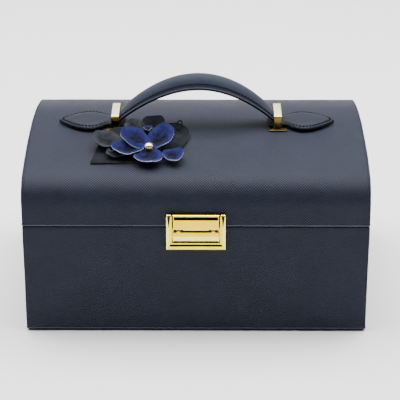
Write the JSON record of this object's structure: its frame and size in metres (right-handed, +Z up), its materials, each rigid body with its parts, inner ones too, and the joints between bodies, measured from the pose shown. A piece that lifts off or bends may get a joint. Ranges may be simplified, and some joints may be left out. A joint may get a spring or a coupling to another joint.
{
  "type": "leather jewellery case",
  "caption": "Leather-covered jewellery case with a domed hinged lid, flip clasp, strap handle, suede flower trim and a tray that rises as the lid opens.",
  "frame": {"origin": "middle of the base sheet, at the height of the table", "axes": "+X to the right along the width, +Y from the clasp towards the hinges, +Z up"},
  "size_m": [0.28, 0.2086, 0.1895],
  "materials": {
    "black_sheet": "smooth black, matt",
    "black_suede": "suede, matt",
    "blue_suede": "suede, matt",
    "board": "raw fibre board, matt",
    "gold_bead": "pearly champagne gold",
    "gold_metal": "polished gold",
    "mirror": "silvered glass",
    "navy_leather": "navy fine cross-hatch grain, satin",
    "strap_leather": "navy, stitched edges",
    "velvet": "short-pile velvet, soft",
    "velvet_roll": "short-pile velvet over foam"
  },
  "bodies": {
    "case": {"base_sheet": "black_sheet", "base_board": "board", "front_board": "board", "rear_board": "board", "left_board": "board", "right_board": "board", "case_cover": "navy_leather", "case_lining": "velvet", "floor_pad": "velvet", "lower_divider_cross": "velvet", "lower_dividers_long": "velvet", "watch_pillows": "velvet_roll", "clasp_frame": "gold_metal", "clasp_catch_bar": "gold_metal", "clasp_rivets": "gold_metal", "hinge_leaves_lower": "gold_metal", "hinge_pins": "gold_metal", "hinge_screws_lower": "gold_metal", "arm_pins": "gold_metal"},
    "lid": {"lid_front_rail": "board", "lid_rear_rail": "board", "lid_top_panel": "board", "lid_left_cheek": "board", "lid_right_cheek": "board", "lid_cover": "navy_leather", "lid_lining": "velvet", "mirror_frame": "velvet", "mirror_glass": "mirror", "hinge_leaves_upper": "gold_metal", "hinge_screws_upper": "gold_metal", "lift_bracket_left": "gold_metal", "lift_bracket_right": "gold_metal", "bracket_rivets": "gold_metal", "hasp_plate": "gold_metal", "hasp_rivets": "gold_metal", "clasp_pin": "gold_metal", "loop_plates": "gold_metal", "handle_loops": "gold_metal", "loop_screws": "gold_metal", "flower_leaf": "black_suede", "flower_black_petals": "black_suede", "flower_blue_petals": "blue_suede", "flower_bead": "gold_bead", "flower_pin": "gold_metal", "handle_strap": "strap_leather", "handle_padding": "strap_leather"},
    "clasp_flap": {"clasp_flap": "gold_metal"},
    "strap_end_left": {"strap_end_left": "strap_leather"},
    "strap_end_right": {"strap_end_right": "strap_leather"},
    "lift_arm_left": {"lift_arm_left": "gold_metal"},
    "lift_arm_right": {"lift_arm_right": "gold_metal"},
    "tray": {"tray_board": "board", "tray_walls": "velvet", "tray_floor_pad": "velvet", "tray_divider_long": "velvet", "tray_dividers_cross": "velvet", "ring_rolls": "velvet_roll", "ring_roll_sheet": "velvet", "tray_tab": "navy_leather", "tray_studs": "gold_metal"}
  },
  "joints": [
    {"name": "lid_hinge", "type": "hinge", "parent": "case", "child": "lid", "pos_m": [0, 0.1022, 0.0952], "axis": [-1, 0, 0], "range_deg": [0, 95]},
    {"name": "flap_hinge", "type": "hinge", "parent": "lid", "child": "clasp_flap", "pos_m": [0, -0.1028, 0.0924], "axis": [-1, 0, 0], "range_deg": [0, 90]},
    {"name": "strap_slide_right", "type": "slide", "parent": "lid", "child": "strap_end_right", "axis": [1, 0, 0], "range_m": [0, 0.008], "deforming": ["handle_strap", "handle_padding"]},
    {"name": "strap_slide_left", "type": "slide", "parent": "lid", "child": "strap_end_left", "axis": [-1, 0, 0], "range_m": [0, 0.008]},
    {"name": "arm_pivot_left", "type": "hinge", "parent": "case", "child": "lift_arm_left", "pos_m": [0, 0.06625, 0.07766], "axis": [-1, 0, 0], "range_deg": [0, 95]},
    {"name": "arm_pivot_right", "type": "hinge", "parent": "case", "child": "lift_arm_right", "pos_m": [0, 0.06625, 0.07766], "axis": [-1, 0, 0], "range_deg": [0, 95]},
    {"name": "tray_pivot", "type": "hinge", "parent": "lid", "child": "tray", "pos_m": [0, 0.04514, 0.07666], "axis": [-1, 0, 0], "range_deg": [-95, 0]}
  ],
  "couplings": [
    {"joint": "strap_slide_left", "follows": "strap_slide_right", "ratio": 1},
    {"joint": "arm_pivot_left", "follows": "lid_hinge", "ratio": 1},
    {"joint": "arm_pivot_right", "follows": "lid_hinge", "ratio": 1},
    {"joint": "tray_pivot", "follows": "lid_hinge", "ratio": -1}
  ]
}
